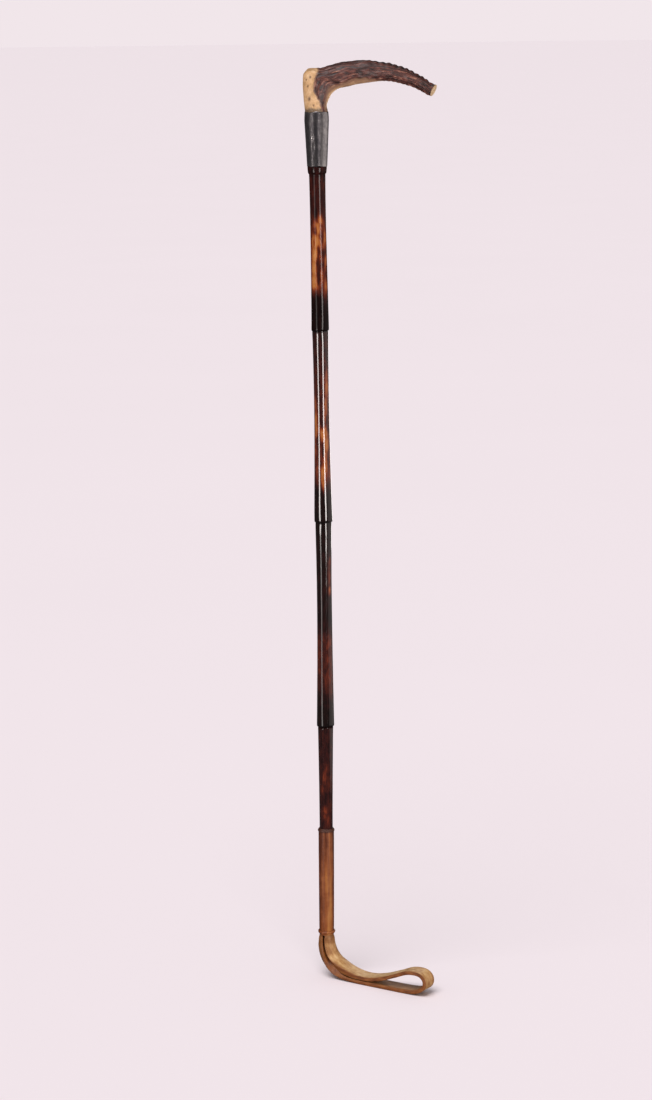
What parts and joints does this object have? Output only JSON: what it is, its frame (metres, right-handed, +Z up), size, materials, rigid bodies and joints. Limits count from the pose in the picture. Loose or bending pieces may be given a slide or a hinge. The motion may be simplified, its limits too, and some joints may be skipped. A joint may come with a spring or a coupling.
{
  "type": "riding crop",
  "caption": "Slim riding crop: ridged antler crook handle, tapered silver collar, jointed cane shaft, leather grip tube and a folded leather keeper loop that flexes at its root.",
  "frame": {"origin": "on the shaft's axis at the middle of the silver collar's height", "axes": "+Z up the shaft towards the handle, +X the way the crook points; the keeper bends forwards, 33 degrees from +X towards -Y"},
  "size_m": [0.1008, 0.0663, 0.7126],
  "materials": {
    "antler": "stag antler with its dark ridged bark, filed to cream at the heel and sawn at the tip",
    "steel": "plain drawn steel rod",
    "silver": "oxidised silver sheet, dark grey, rubbed bright on its dents",
    "pitch": "set cutler's pitch",
    "cane": "solid cane, flame mottled black-brown and amber under clear varnish",
    "dark_thread": "waxed black-brown linen thread",
    "sleeve_leather": "tan calf, glazed and handled",
    "linen_thread": "waxed linen thread",
    "keeper_leather": "tan bridle leather strap, pale worn face and dark cut edges"
  },
  "bodies": {
    "crop": {"antler_handle": "antler", "handle_stud": "steel", "collar_tube": "silver", "collar_cement": "pitch", "collar_pin": "silver", "cane_shaft": "cane", "top_ring": "dark_thread", "leather_sleeve": "sleeve_leather", "sleeve_seam_thread": "linen_thread", "lower_ring": "sleeve_leather", "tail_whipping": "linen_thread", "keeper_tail_inner": "keeper_leather", "keeper_tail_outer": "keeper_leather"},
    "keeper": {"keeper_loop": "keeper_leather"}
  },
  "joints": [
    {"name": "keeper_flex", "type": "hinge", "parent": "crop", "child": "keeper", "pos_m": [0, 0, -0.6297], "axis": [0.5446, 0.8387, 0], "range_deg": [-35, 45], "stiffness_Nm_per_rad": 0.2}
  ]
}
